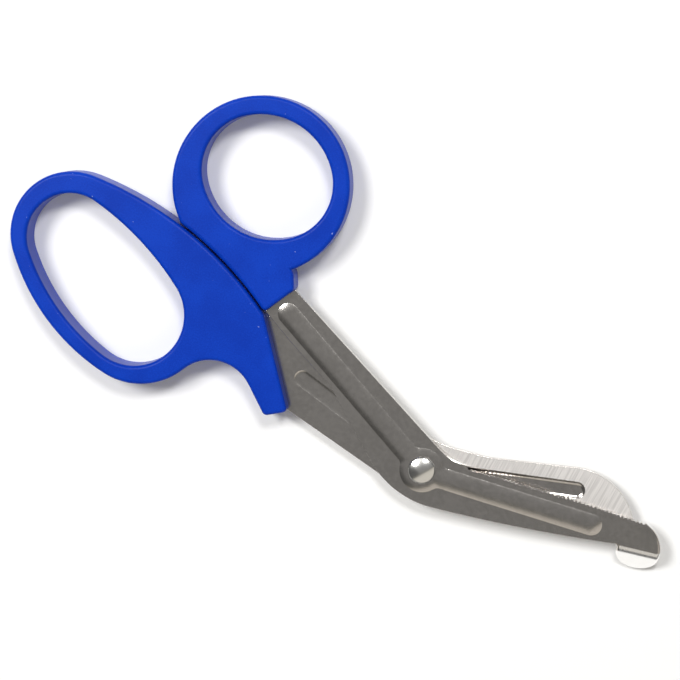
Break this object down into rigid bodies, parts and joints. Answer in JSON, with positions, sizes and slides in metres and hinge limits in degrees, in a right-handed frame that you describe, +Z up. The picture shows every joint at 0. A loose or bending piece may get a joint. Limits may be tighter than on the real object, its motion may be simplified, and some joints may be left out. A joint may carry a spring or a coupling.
{
  "type": "bandage scissors",
  "caption": "Angled bandage scissors with stamped ribbed steel levers, a serrated lower blade with a blunt foot, and moulded finger loops.",
  "frame": {"origin": "middle of the closed scissors' outline, on the surface that they lie on", "axes": "+X towards the blade tips along the longest side of the outline, +Y towards the thumb ring, +Z up, out of the side that carries the rivet's domed head"},
  "size_m": [0.1938, 0.0868, 0.0104],
  "materials": {
    "blade_steel": "satin pressed stainless sheet, with a brighter cross-ground face and edge bevels",
    "handle_plastic": "royal blue moulded plastic, satin, finely speckled",
    "rivet_steel": "polished, with a light haze"
  },
  "bodies": {
    "lower_lever": {"lower_blade": "blade_steel", "thumb_handle": "handle_plastic", "pivot_rivet": "rivet_steel", "rivet_washer": "rivet_steel"},
    "upper_lever": {"upper_blade": "blade_steel", "finger_handle": "handle_plastic"}
  },
  "joints": [
    {"name": "pivot", "type": "hinge", "parent": "lower_lever", "child": "upper_lever", "pos_m": [0.0301, -0.03167, 0.0052], "axis": [0, 0, 1], "range_deg": [0, 50]}
  ]
}
